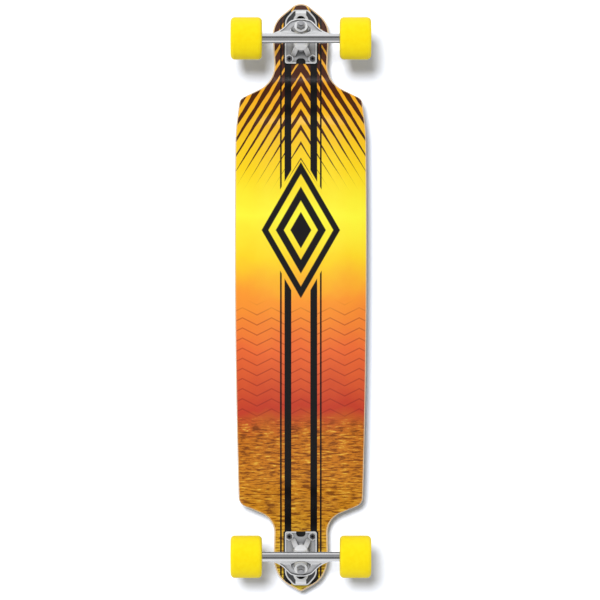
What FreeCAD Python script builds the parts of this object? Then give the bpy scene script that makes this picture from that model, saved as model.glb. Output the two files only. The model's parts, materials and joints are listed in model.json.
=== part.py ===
import math
import os

import FreeCAD
import Part
import Sketcher

# Driving dimensions, in millimetres and degrees. The board stands on its wheels: +X is the nose,
# +Y the left side, +Z up, with the origin on the ground under the middle of the deck.
SIZES = {
    # Deck blank and its drop
    "deck_length": 1047.75,
    "deck_width": 235.0,
    "deck_thickness": 12.0,
    "deck_drop": 22.0,
    "bend_radius": 100.0,
    "nose_bend_inset": 170.9,
    "tail_bend_inset": 153.9,
    "flat_width": 130.0,
    "rail_radius": 200.0,
    "rail_margin": 3.0,
    "edge_round": 4.0,
    # Plan outline of the deck, from each tip inward, as corner insets, half widths and rounds
    "nose_tip_half": 8.95,
    "nose_tip_round": 24.0,
    "nose_side_inset": 34.9,
    "nose_side_half": 51.4,
    "nose_side_round": 45.0,
    "nose_neck_inset": 138.9,
    "nose_neck_half": 45.9,
    "nose_neck_round": 48.0,
    "nose_shoulder_inset": 170.2,
    "nose_shoulder_taper": 8.5,
    "nose_shoulder_round": 14.0,
    "nose_rail_inset": 228.9,
    "nose_rail_taper": 1.2,
    "nose_rail_round": 300.0,
    "widest_inset": 423.9,
    "tail_tip_half": 2.1,
    "tail_tip_round": 7.5,
    "tail_flank_inset": 21.2,
    "tail_flank_half": 39.3,
    "tail_flank_round": 48.0,
    "tail_side_inset": 54.0,
    "tail_side_half": 49.0,
    "tail_side_round": 60.0,
    "tail_neck_inset": 129.6,
    "tail_neck_half": 46.8,
    "tail_neck_round": 38.0,
    "tail_shoulder_inset": 156.3,
    "tail_shoulder_taper": 7.0,
    "tail_shoulder_round": 18.0,
    # Grip tape
    "grip_thickness": 0.9,
    "grip_inset": 4.5,
    "grip_glue": 0.05,
    "grip_hole_radius": 6.0,
    # Truck place and mounting pattern
    "axle_inset": 65.9,
    "axle_height": 70.0,
    "bolt_length_pitch": 53.98,
    "bolt_width_pitch": 41.28,
    "bolt_pattern_offset": -5.5,
    # Riser pad
    "riser_thickness": 3.0,
    "riser_width": 62.0,
    "riser_inner_end": -41.0,
    "riser_outer_end": 44.6,
    # Baseplate casting
    "plate_width": 56.7,
    "plate_inner_end": -41.0,
    "plate_outer_end": 54.5,
    "plate_slab": 4.0,
    "plate_rim_height": 6.5,
    "plate_rim_width": 2.4,
    "plate_nose_half": 13.0,
    "plate_nose_depth": 17.0,
    "plate_nose_round": 8.0,
    "plate_shoulder_round": 22.0,
    "plate_corner_round": 4.0,
    "bolt_pad_radius": 7.6,
    "bolt_pad_height": 5.5,
    "notch_width": 16.7,
    "notch_depth": 9.4,
    "collar_place": 34.7,
    "collar_radius": 13.4,
    "collar_hole_radius": 8.8,
    "collar_height": 12.0,
    "collar_ramp_half": 9.5,
    "tower_half": 11.0,
    "tower_foot": -8.0,
    "gusset_thickness": 8.5,
    "gusset_angle": 26.0,
    "gusset_start": -9.5,
    "gusset_half": 5.5,
    "gusset_length": 21.0,
    "gusset_top": 44.0,
    "gusset_shelf": 8.0,
    "seat_pad_radius": 14.5,
    # Steering geometry: the axis passes through the middle of the hanger ring
    "steer_angle": 30.0,
    "ring_place": 14.2,
    "kingpin_clearance": 3.7,
    # Hanger casting
    "hanger_width": 180.0,
    "tube_radius": 8.5,
    "tube_end_radius": 7.2,
    "tube_end_taper": 3.0,
    "ring_radius": 18.0,
    "ring_web": 7.0,
    "ring_lip": 2.5,
    "ring_bore_radius": 8.0,
    "seat_clearance": 0.4,
    "pocket_radius": 14.5,
    "pocket_mouth": 18.0,
    "pocket_flare": 6.0,
    "wing_tip_reach": 25.3,
    "wing_tip_half": 6.5,
    "wing_flank_place": 33.9,
    "wing_flank_half": 18.9,
    "wing_waist_place": 16.9,
    "wing_waist_half": 33.6,
    "wing_end_place": 9.2,
    "wing_end_half": 50.5,
    "wing_waist_round": 45.0,
    "wing_flank_round": 14.0,
    "wing_tip_round": 8.0,
    "wing_thickness": 6.0,
    "wing_end_height": 60.0,
    "wing_arch_half": 28.0,
    "wing_arch_height": 39.0,
    "wing_rim_width": 2.0,
    "wing_rim_height": 2.5,
    "wing_rib_place": 8.0,
    "wing_rib_half": 22.0,
    "wing_rib_angle": 25.0,
    "wing_rib_length": 14.5,
    "wing_rib_thickness": 1.8,
    "wing_rib_drop": 0.6,
    "wing_knee_place": 13.0,
    "wing_knee_height": 54.0,
    "neck_half": 13.0,
    "neck_relief": 1.5,
    "pivot_root": 19.5,
    "pivot_tip": 30.0,
    "pivot_radius": 6.0,
    # Pivot cup
    "cup_wall": 2.0,
    "cup_mouth": 21.5,
    "cup_floor": 2.0,
    "boss_radius": 11.5,
    "boss_floor": 2.5,
    "boss_round": 5.0,
    # Kingpin, bushings and cup washers
    "kingpin_radius": 4.76,
    "kingpin_head_flats": 14.3,
    "kingpin_head_height": 6.0,
    "kingpin_grip": 9.5,
    "kingpin_stick_out": 3.0,
    "kingpin_nut_height": 8.0,
    "kingpin_nut_crown": 2.0,
    "bushing_radius": 12.2,
    "bushing_top_radius": 10.0,
    "bushing_height": 12.0,
    "bushing_edge": 0.8,
    "cup_washer_wall": 1.5,
    "cup_washer_thickness": 1.5,
    "cup_washer_rim": 1.5,
    # Deck bolts and lock nuts
    "bolt_radius": 2.4,
    "bolt_head_radius": 4.7,
    "bolt_stick_out": 1.5,
    "lock_nut_flats": 9.5,
    "lock_nut_height": 5.5,
    "lock_nut_crown": 1.4,
    # Axle hardware
    "axle_radius": 4.0,
    "axle_stick_out": 1.0,
    "speed_washer_radius": 6.0,
    "speed_washer_thickness": 1.0,
    "axle_nut_flats": 12.7,
    "axle_nut_height": 6.5,
    "axle_nut_crown": 1.6,
    # 608 bearings and the spacer between them
    "bearing_radius": 11.0,
    "bearing_width": 7.0,
    "inner_race_radius": 6.05,
    "ball_radius": 1.98,
    "ball_circle": 7.65,
    "ball_count": 7,
    "cage_thickness": 1.0,
    "cage_width": 2.2,
    "shield_thickness": 0.3,
    "shield_gap": 0.25,
    "spacer_length": 10.0,
    "spacer_radius": 5.6,
    # Wheel
    "wheel_diameter": 75.0,
    "wheel_width": 55.5,
    "wheel_inner_face": 68.7,
    "wheel_lip_round": 7.5,
    "wheel_inner_mouth": 26.0,
    "wheel_outer_mouth": 25.0,
    "core_radius": 22.0,
    "core_length": 28.0,
    "core_wall": 2.5,
    "hub_wall": 2.6,
    "core_web": 6.0,
    "core_window_count": 8,
    # Clearances
    "running_fit": 0.06,
    "assembly_fit": 0.15,
}


class Size:
    """A size as a number, with the expression on the sheet's cells that gives it."""

    def __init__(self, value, text):
        self.value = float(value)
        self.text = text

    def joined(self, other, sign, value):
        return Size(value, "(" + self.text + " " + sign + " " + of(other).text + ")")

    def __add__(self, other):
        return self.joined(other, "+", self.value + of(other).value)

    def __sub__(self, other):
        return self.joined(other, "-", self.value - of(other).value)

    def __mul__(self, other):
        return self.joined(other, "*", self.value * of(other).value)

    def __truediv__(self, other):
        return self.joined(other, "/", self.value / of(other).value)

    def __neg__(self):
        return of(0) - self


def of(amount):
    """Any amount as a Size."""
    if isinstance(amount, Size):
        return amount
    return Size(amount, "(" + repr(float(amount)) + ")")


def root(area):
    return Size(math.sqrt(area.value), "sqrt(" + area.text + ")")


def cosine(angle):
    return Size(math.cos(math.radians(angle.value)), "cos(" + angle.text + ")")


def sine(angle):
    return Size(math.sin(math.radians(angle.value)), "sin(" + angle.text + ")")


doc = FreeCAD.newDocument("longboard")
sheet = doc.addObject("Spreadsheet::Sheet", "Sizes")
for row, (alias, amount) in enumerate(SIZES.items(), start=1):
    sheet.set("A%d" % row, alias)
    sheet.set("B%d" % row, str(amount))
    sheet.setAlias("B%d" % row, alias)
doc.recompute()


class Sheet:
    """The sheet's cells by name."""

    def __getattr__(self, alias):
        return Size(SIZES[alias], "Sizes." + alias)


s = Sheet()
vector = FreeCAD.Vector
X_AXIS = vector(1, 0, 0)
Y_AXIS = vector(0, 1, 0)
Z_AXIS = vector(0, 0, 1)
FULL_TURN = 360.0
HALF_TURN = 180.0
QUARTER_TURN = 90.0
HEXAGON = 6
ORIGIN_POINT = (-1, 1)
NEAR = 1e-4
nodes = {}


def bind(thing, **sizes):
    """Ties properties of an object to the sheet."""
    for prop, amount in sizes.items():
        thing.setExpression(prop, of(amount).text)
    return thing


def turned(axis, angle):
    return FreeCAD.Rotation(axis, angle)


def at(x=0, y=0, z=0, rotation=None):
    """A placement at a point given in sizes or numbers."""
    point = vector(of(x).value, of(y).value, of(z).value)
    return FreeCAD.Placement(point, rotation or FreeCAD.Rotation())


def draw(sketch, corners, closed=True):
    """Draws a line through corners; a third entry on a corner makes the side after it an arc.

    That entry is the arc's radius, negative where the arc turns clockwise.
    """
    count = len(corners)
    sides = count if closed else count - 1
    ends = []
    for index in range(sides):
        here, there = corners[index], corners[(index + 1) % count]
        start = vector(of(here[0]).value, of(here[1]).value, 0)
        end = vector(of(there[0]).value, of(there[1]).value, 0)
        if len(here) < 3:
            geometry = sketch.addGeometry(Part.LineSegment(start, end), False)
            ends.append(((geometry, 1), (geometry, 2)))
            continue
        radius = here[2]
        first, second = (start, end) if radius.value > 0 else (end, start)
        reach = abs(radius.value)
        chord = second - first
        offset = math.sqrt(max(reach ** 2 - (chord.Length / 2) ** 2, 0))
        normal = vector(-chord.y, chord.x, 0).normalize()
        centre = first + chord * 0.5 + normal * offset
        angles = [math.atan2(p.y - centre.y, p.x - centre.x) for p in (first, second)]
        if angles[1] < angles[0]:
            angles[1] += 2 * math.pi
        arc = Part.ArcOfCircle(Part.Circle(centre, Z_AXIS, reach), *angles)
        geometry = sketch.addGeometry(arc, False)
        hold = sketch.addConstraint(Sketcher.Constraint("Radius", geometry, reach))
        forward = radius.value > 0
        sketch.setExpression("Constraints[%d]" % hold, radius.text if forward else (-radius).text)
        ends.append(((geometry, 1), (geometry, 2)) if forward else ((geometry, 2), (geometry, 1)))
    for index in range(sides if closed else sides - 1):
        meeting = ends[index][1] + ends[(index + 1) % sides][0]
        sketch.addConstraint(Sketcher.Constraint("Coincident", *meeting))
    for index, corner in enumerate(corners):
        point = ends[index][0] if index < sides else ends[-1][1]
        for kind, amount in (("DistanceX", of(corner[0])), ("DistanceY", of(corner[1]))):
            hold = sketch.addConstraint(Sketcher.Constraint(kind, *ORIGIN_POINT, *point, amount.value))
            sketch.setExpression("Constraints[%d]" % hold, amount.text)
    return sketch


def new_body(name):
    return doc.addObject("PartDesign::Body", name)


def plane_of(body, role):
    return [feature for feature in body.Origin.OriginFeatures if feature.Role == role][0]


def body_sketch(body, name, role, corners):
    sketch = body.newObject("Sketcher::SketchObject", name)
    sketch.AttachmentSupport = (plane_of(body, role), [""])
    sketch.MapMode = "FlatFace"
    return draw(sketch, corners)


def lathe(name, corners):
    """A turned body about Z from a half section of (radius, height) corners."""
    body = new_body(name)
    sketch = body_sketch(body, name + "_section", "XZ_Plane", corners)
    turn = body.newObject("PartDesign::Revolution", name + "_turn")
    turn.Profile = sketch
    turn.ReferenceAxis = (sketch, ["V_Axis"])
    turn.Angle = FULL_TURN
    doc.recompute()
    return body


def slab(name, role, corners, thickness, middle=False):
    """A body of even thickness over an outline on one of its planes."""
    body = new_body(name)
    sketch = body_sketch(body, name + "_outline", role, corners)
    pad = body.newObject("PartDesign::Pad", name + "_pad")
    pad.Profile = sketch
    pad.Midplane = middle
    bind(pad, Length=thickness)
    doc.recompute()
    return body


def straight_edges(shape, points, along):
    """Names of the straight edges parallel to a direction that pass through the points."""
    names = []
    for index, edge in enumerate(shape.Edges, start=1):
        if not isinstance(edge.Curve, Part.Line):
            continue
        if edge.tangentAt(edge.FirstParameter).cross(along).Length > NEAR:
            continue
        spot = edge.Vertexes[0].Point
        if any((spot - point).cross(along).Length < NEAR for point in points):
            names.append("Edge%d" % index)
    return names


def round_corners(body, corners, radius, along=Z_AXIS):
    """Rounds a slab's straight corner edges; corners are points on its outline plane."""
    points = [vector(*(of(amount).value for amount in corner)) for corner in corners]
    sharp = body.Tip
    names = straight_edges(sharp.Shape, points, along)
    fillet = body.newObject("PartDesign::Fillet", body.Name + "_round")
    fillet.Base = (sharp, names)
    bind(fillet, Radius=radius)
    body.Tip = fillet
    doc.recompute()
    return body


def cylinder(name, radius, height, placement=None):
    solid = bind(doc.addObject("Part::Cylinder", name), Radius=radius, Height=height)
    solid.Placement = placement or FreeCAD.Placement()
    return solid


def hexagon(name, flats, height):
    """A six-sided bar, given across its flats."""
    solid = doc.addObject("Part::Prism", name)
    solid.Polygon = HEXAGON
    return bind(solid, Circumradius=of(flats) / cosine(of(HALF_TURN / HEXAGON)) / 2, Height=height)


def fuse(name, *pieces):
    solid = doc.addObject("Part::MultiFuse", name)
    solid.Shapes = list(pieces)
    doc.recompute()
    return solid


def common(name, first, second):
    solid = doc.addObject("Part::Common", name)
    solid.Base = first
    solid.Tool = second
    doc.recompute()
    return solid


def cut(name, base, *tools):
    """Takes the tools out of the base, and checks that they took something."""
    tool = tools[0] if len(tools) == 1 else fuse(name + "_tools", *tools)
    solid = doc.addObject("Part::Cut", name)
    solid.Base = base
    solid.Tool = tool
    doc.recompute()
    if solid.Shape.Volume > Part.getShape(base).Volume - NEAR:
        raise RuntimeError(name + " cuts nothing")
    return solid


def moved(thing, placement):
    thing.Placement = placement
    return thing


def copy(master, name, placement):
    """A linked copy of a piece at another place."""
    link = doc.addObject("App::Link", name)
    link.LinkedObject = master
    link.LinkTransform = True
    link.Placement = placement
    return link


def node_group(label, members):
    """Names a sub-part made of several linked copies, each given as (piece, placement)."""
    thing = doc.addObject("Part::Compound", label)
    thing.Links = [copy(master, label + "_item", placement) for master, placement in members]
    thing.Label = label
    nodes[label] = thing


def node(label, master, *placements):
    """Names a sub-part: one linked copy, or a group of linked copies of one piece."""
    if len(placements) > 1:
        node_group(label, [(master, placement) for placement in placements])
        return
    thing = copy(master, label, placements[0])
    thing.Label = label
    nodes[label] = thing


# Heights and stations that several pieces share.
half_length = s.deck_length / 2
mount_height = s.wheel_diameter / 2 + s.axle_height
deck_high = mount_height + s.riser_thickness
deck_low = deck_high - s.deck_drop
axle_place = half_length - s.axle_inset
bolt_top = -(s.riser_thickness + s.deck_thickness)
bolt_places = []
for end_sign in (-1, 1):
    for side_sign in (-1, 1):
        along = s.bolt_pattern_offset + s.bolt_length_pitch / 2 * end_sign
        bolt_places.append((along, s.bolt_width_pitch / 2 * side_sign))

# Stations along the kingpin, from the middle of the hanger ring.
ring_floor = s.ring_web / 2
ring_rim = ring_floor + s.ring_lip
washer_seat = ring_floor + s.bushing_height
stack_end = washer_seat + s.cup_washer_thickness
head_top = stack_end + s.kingpin_grip
nut_end = stack_end + s.kingpin_nut_height
# Stations along the steering axis, inward from the middle of the ring.
cup_end = s.pivot_tip + s.assembly_fit + s.cup_floor
boss_end = cup_end + s.boss_floor
cup_radius = s.pivot_radius + s.running_fit + s.cup_wall
casting_reach = s.axle_height * 2
# The ring stands just high enough for the whole head of the kingpin to stay above the mounting face.
head_corner = s.kingpin_head_flats / cosine(of(HALF_TURN / HEXAGON)) / 2
head_low = cosine(s.steer_angle) * (head_top + s.kingpin_head_height) + sine(s.steer_angle) * head_corner
ring_height = head_low + s.kingpin_clearance

# A truck is modelled as it lies on a bench: mounting face down at height 0, axle above it, nose along +X.
bench_places = {
    "front": at(axle_place, 0, mount_height, turned(X_AXIS, HALF_TURN)),
    "rear": at(-axle_place, 0, mount_height, turned(Y_AXIS, HALF_TURN)),
}
# In the tilted frame X is the steering axis and Z the kingpin, with the ring's middle as origin.
tilt = at(s.ring_place, 0, ring_height, turned(Y_AXIS, SIZES["steer_angle"]))
inward = turned(Y_AXIS, -QUARTER_TURN)
sides = {"left": turned(X_AXIS, -QUARTER_TURN), "right": turned(X_AXIS, QUARTER_TURN)}
bench_axle = [at(0, 0, s.axle_height, turn) for turn in sides.values()]


def tilted(along_axis, along_kingpin):
    """A point of the tilted frame's middle plane, as bench (x, z)."""
    place = s.ring_place + cosine(s.steer_angle) * along_axis + sine(s.steer_angle) * along_kingpin
    height = ring_height - sine(s.steer_angle) * along_axis + cosine(s.steer_angle) * along_kingpin
    return place, height


def deck_section(name, low, high):
    """Cross section of a layer of the deck: flat in the middle, with rails that curve up."""
    flat = s.flat_width / 2
    reach = s.deck_width / 2 + s.rail_margin
    lower, upper = s.rail_radius - low, s.rail_radius - high
    lean = (reach - flat) / (s.rail_radius - s.deck_thickness - s.grip_thickness - s.grip_glue)
    rise = of(1) - root(of(1) - lean * lean)
    lower_end = (flat + lower * lean, of(low) + lower * rise)
    upper_end = (flat + upper * lean, of(high) + upper * rise)
    sketch = doc.addObject("Sketcher::SketchObject", name)
    sketch.Placement = at(half_length, 0, deck_high, turned(vector(1, 1, 1), FULL_TURN / 3))
    return draw(sketch, [
        (-flat, low),
        (flat, low, lower),
        lower_end,
        (*upper_end, -upper),
        (flat, high),
        (-flat, high, -upper),
        (-upper_end[0], upper_end[1]),
        (-lower_end[0], lower_end[1], lower),
    ])


def drop_line():
    """Side view of the deck's underside: two high ends and the dropped platform between S-bends."""
    run = root(s.bend_radius * s.deck_drop - s.deck_drop * s.deck_drop / 4)
    middle = (deck_high + deck_low) / 2
    nose = half_length - s.nose_bend_inset
    tail = -(half_length - s.tail_bend_inset)
    sketch = doc.addObject("Sketcher::SketchObject", "drop_line")
    sketch.Placement = at(rotation=turned(X_AXIS, QUARTER_TURN))
    return draw(sketch, [
        (half_length, deck_high),
        (nose + run, deck_high, s.bend_radius),
        (nose, middle, -s.bend_radius),
        (nose - run, deck_low),
        (tail + run, deck_low, -s.bend_radius),
        (tail, middle, s.bend_radius),
        (tail - run, deck_high),
        (-half_length, deck_high),
    ], closed=False)


def pressed_layer(name, spine, low, high):
    """A layer of the pressed deck, swept along the drop."""
    layer = doc.addObject("Part::Sweep", name)
    layer.Sections = [deck_section(name + "_section", low, high)]
    layer.Spine = (spine, ["Edge%d" % (index + 1) for index in range(spine.GeometryCount)])
    layer.Solid = True
    doc.recompute()
    return layer


def bow(run, rise):
    """Radius of an arc that starts level and falls by the rise over the run."""
    return (run * run + rise * rise) / (rise * 2)


def deck_plan():
    """Upright prism over the deck's outline: straight flanks, bowed rails, rounded corners."""
    width = s.deck_width / 2
    widest = half_length - s.widest_inset
    nose_rail = half_length - s.nose_rail_inset
    tail_shoulder = -half_length + s.tail_shoulder_inset
    nose = [
        (half_length, s.nose_tip_half, s.nose_tip_round),
        (half_length - s.nose_side_inset, s.nose_side_half, s.nose_side_round),
        (half_length - s.nose_neck_inset, s.nose_neck_half, s.nose_neck_round),
        (half_length - s.nose_shoulder_inset, width - s.nose_shoulder_taper, s.nose_shoulder_round),
        (nose_rail, width - s.nose_rail_taper, s.nose_rail_round),
    ]
    tail = [
        (tail_shoulder, width - s.tail_shoulder_taper, s.tail_shoulder_round),
        (-half_length + s.tail_neck_inset, s.tail_neck_half, s.tail_neck_round),
        (-half_length + s.tail_side_inset, s.tail_side_half, s.tail_side_round),
        (-half_length + s.tail_flank_inset, s.tail_flank_half, s.tail_flank_round),
        (-half_length, s.tail_tip_half, s.tail_tip_round),
    ]
    front_bow = bow(nose_rail - widest, s.nose_rail_taper)
    rear_bow = bow(widest - tail_shoulder, s.tail_shoulder_taper)
    left_nose = [(place, reach) for place, reach, corner in nose]
    left_tail = [(place, reach) for place, reach, corner in tail]
    right_nose = [(place, -reach) for place, reach in reversed(left_nose)]
    right_tail = [(place, -reach) for place, reach in reversed(left_tail)]
    left = left_nose[:-1] + [(*left_nose[-1], front_bow), (widest, width, rear_bow)] + left_tail
    right = right_tail[:-1] + [(*right_tail[-1], rear_bow), (widest, -width, front_bow)] + right_nose
    body = slab("deck_plan", "XY_Plane", left + right, deck_high + s.deck_drop + s.deck_thickness)
    for place, reach, corner in nose + tail:
        round_corners(body, [(place, reach, 0), (place, -reach, 0)], corner)
    return body


def bolt_hole():
    """The countersunk hole of one deck bolt."""
    shank = s.bolt_radius + s.assembly_fit
    head = s.bolt_head_radius + s.assembly_fit
    over = s.deck_thickness
    return lathe("bolt_hole", [
        (0, bolt_top - over),
        (head, bolt_top - over),
        (head, bolt_top),
        (shank, bolt_top + head - shank),
        (shank, s.lock_nut_height),
        (0, s.lock_nut_height),
    ])


def rim_edges(shape):
    """Numbers of the edges where the deck's upright wall meets its upper and lower faces."""
    found = []
    for index, edge in enumerate(shape.Edges, start=1):
        walls = 0
        faces = shape.ancestorsOfType(edge, Part.Face)
        middle = edge.valueAt((edge.FirstParameter + edge.LastParameter) / 2)
        for face in faces:
            if abs(face.normalAt(*face.Surface.parameter(middle)).z) < NEAR:
                walls += 1
        if walls == 1:
            found.append(index)
    return found


def make_deck(spine, plan, holes):
    """Pressed maple deck with rounded edges and eight countersunk bolt holes."""
    layer = pressed_layer("deck_layer", spine, of(0), s.deck_thickness)
    blank = common("deck_blank", layer, plan)
    edged = doc.addObject("Part::Fillet", "deck_edged")
    edged.Base = blank
    radius = s.edge_round.value
    edged.Edges = [(index, radius, radius) for index in rim_edges(blank.Shape)]
    doc.recompute()
    return cut("deck_drilled", edged, holes)


def inset_prism(name, prism, inset):
    """An upright prism over another's outline, drawn in evenly all round."""
    floor = [face for face in prism.Shape.Faces if face.normalAt(0, 0).z < -1 + NEAR][0]
    inner = doc.addObject("Part::Feature", name)
    inner.Shape = floor.makeOffset2D(-inset.value).extrude(Z_AXIS * prism.Shape.BoundBox.ZMax)
    return inner


def make_grip_tape(spine, plan, holes):
    """Grip sheet on the deck's top, trimmed just inside the rounded edge."""
    base = s.deck_thickness + s.grip_glue
    layer = pressed_layer("grip_layer", spine, base, base + s.grip_thickness)
    sheet_cut = common("grip_sheet", layer, inset_prism("grip_trim", plan, s.grip_inset))
    return cut("grip_punched", sheet_cut, holes)


def make_riser_pad():
    """Rubber pad between the deck and a baseplate."""
    half = s.riser_width / 2
    inner, outer = s.riser_inner_end, s.riser_outer_end
    pad = slab("riser_blank", "XY_Plane", [(inner, -half), (outer, -half), (outer, half), (inner, half)],
               s.riser_thickness)
    pad.Placement = at(z=-s.riser_thickness)
    drill = cylinder("riser_drill", s.bolt_radius + s.assembly_fit, casting_reach)
    return cut("riser_pad", pad, group("riser_drills", drill, bolt_centres(-casting_reach / 2)))


def bolt_centres(height):
    return [at(along, aside, height) for along, aside in bolt_places]


def group(name, master, placements):
    """Linked copies of a piece, kept as separate solids."""
    bundle = doc.addObject("Part::Compound", name)
    bundle.Links = [copy(master, name + "_item", placement) for placement in placements]
    doc.recompute()
    return bundle


def plate_outline(name, margin, height):
    """Baseplate outline: square inner end, rounded nose."""
    half = s.plate_width / 2 - margin
    inner = s.plate_inner_end + margin
    outer = s.plate_outer_end - margin
    shoulder = s.plate_outer_end - s.plate_nose_depth - margin / 2
    tip = s.plate_nose_half - margin / 2
    upper = [(inner, half), (shoulder, half), (outer, tip)]
    lower = [(x, -y) for x, y in reversed(upper)]
    body = slab(name, "XY_Plane", lower + upper, height)
    for (x, y), radius in zip(upper, (s.plate_corner_round, s.plate_shoulder_round, s.plate_nose_round)):
        round_corners(body, [(x, y, 0), (x, -y, 0)], radius - margin)
    return body


def make_baseplate():
    """Cast baseplate: rimmed flange, bushing seat, pivot tower with two gussets, nose collar."""
    flange = cut("plate_flange", plate_outline("plate_blank", of(0), s.plate_rim_height),
                 moved(plate_outline("plate_recess", s.plate_rim_width, s.plate_rim_height),
                       at(z=s.plate_slab)))
    pad = cylinder("bolt_pad", s.bolt_pad_radius, s.bolt_pad_height)
    pads = group("bolt_pads", pad, bolt_centres(0))
    seat = cylinder("bushing_seat", s.seat_pad_radius, casting_reach,
                    tilt.multiply(at(z=-stack_end - casting_reach)))
    tower = slab("pivot_tower", "XZ_Plane", [
        (tilted(s.seat_pad_radius, -stack_end)[0], 0),
        tilted(s.seat_pad_radius - s.ring_lip, -stack_end),
        tilted(-s.cup_mouth, -stack_end),
        tilted(-s.cup_mouth, s.cup_wall),
        tilted(s.boss_round - boss_end, s.cup_wall),
        tilted(s.boss_round - boss_end, -s.boss_radius + s.ring_lip),
        (s.tower_foot, 0),
    ], s.tower_half * 2, middle=True)
    depth = boss_end - s.cup_mouth
    boss = moved(lathe("pivot_boss", [
        (0, 0),
        (s.boss_radius, 0),
        (s.boss_radius, depth - s.boss_round, s.boss_round),
        (s.boss_radius - s.boss_round, depth),
        (0, depth),
    ]), tilt.multiply(at(-s.cup_mouth, rotation=inward)))
    gusset = slab("tower_gusset", "XZ_Plane", [
        (0, 0),
        (0, s.gusset_top),
        (s.gusset_shelf, s.gusset_top),
        (s.gusset_length, s.plate_slab),
        (s.gusset_length, 0),
    ], s.gusset_thickness, middle=True)
    gussets = []
    for side in (-1, 1):
        splay = turned(Z_AXIS, HALF_TURN + side * SIZES["gusset_angle"])
        gussets.append(copy(gusset, "splayed_gusset", at(s.gusset_start, -s.gusset_half * side, 0, splay)))
    collar = cylinder("nose_collar", s.collar_radius, s.collar_height, at(s.collar_place))
    ramp = slab("nose_ramp", "XZ_Plane", [
        (s.collar_place, 0),
        (s.collar_place, s.collar_height),
        (s.collar_place + s.collar_radius, s.collar_height),
        (s.plate_outer_end - s.plate_rim_width / 2, s.plate_rim_height),
        (s.plate_outer_end - s.plate_rim_width / 2, 0),
    ], s.collar_ramp_half * 2, middle=True)
    casting = fuse("plate_casting", flange, pads, seat, tower, boss, *gussets, collar, ramp)
    below = bind(doc.addObject("Part::Box", "below_plate"), Length=casting_reach * 2, Width=casting_reach * 2,
                 Height=casting_reach * 2)
    below.Placement = at(-casting_reach, -casting_reach, -casting_reach * 2)
    shank = s.kingpin_radius + s.assembly_fit
    hole = cylinder("kingpin_hole", shank, casting_reach * 2, tilt.multiply(at(z=-casting_reach)))
    head_pocket = cylinder("kingpin_pocket", head_corner + s.assembly_fit, casting_reach,
                           tilt.multiply(at(z=-head_top - casting_reach)))
    cup_bore = cylinder("cup_bore", cup_radius + s.running_fit, cup_end - s.cup_mouth + s.ring_radius,
                        tilt.multiply(at(-s.cup_mouth + s.ring_radius, rotation=inward)))
    drill = cylinder("plate_drill", s.bolt_radius + s.assembly_fit, casting_reach)
    drills = group("plate_drills", drill, bolt_centres(-s.plate_slab))
    collar_hole = cylinder("collar_hole", s.collar_hole_radius, casting_reach,
                           at(s.collar_place, 0, -s.plate_slab))
    half = s.notch_width / 2
    inner, deep = s.plate_inner_end - s.notch_depth, s.plate_inner_end + s.notch_depth
    notch = slab("inner_notch", "XY_Plane", [(inner, -half), (deep, -half), (deep, half), (inner, half)],
                 casting_reach)
    round_corners(notch, [(deep, -half, 0), (deep, half, 0)], half - s.plate_corner_round / 2)
    return cut("baseplate", casting, below, hole, head_pocket, cup_bore, drills, collar_hole, notch)


def make_pivot_cup():
    """Plastic cup in the tower that holds the hanger's pivot nose."""
    bore = s.pivot_radius + s.running_fit
    depth = cup_end - s.cup_mouth
    return lathe("pivot_cup", [
        (bore, 0),
        (cup_radius, 0),
        (cup_radius, depth),
        (0, depth),
        (0, depth - s.cup_floor),
        (bore, depth - s.cup_floor),
    ])


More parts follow.
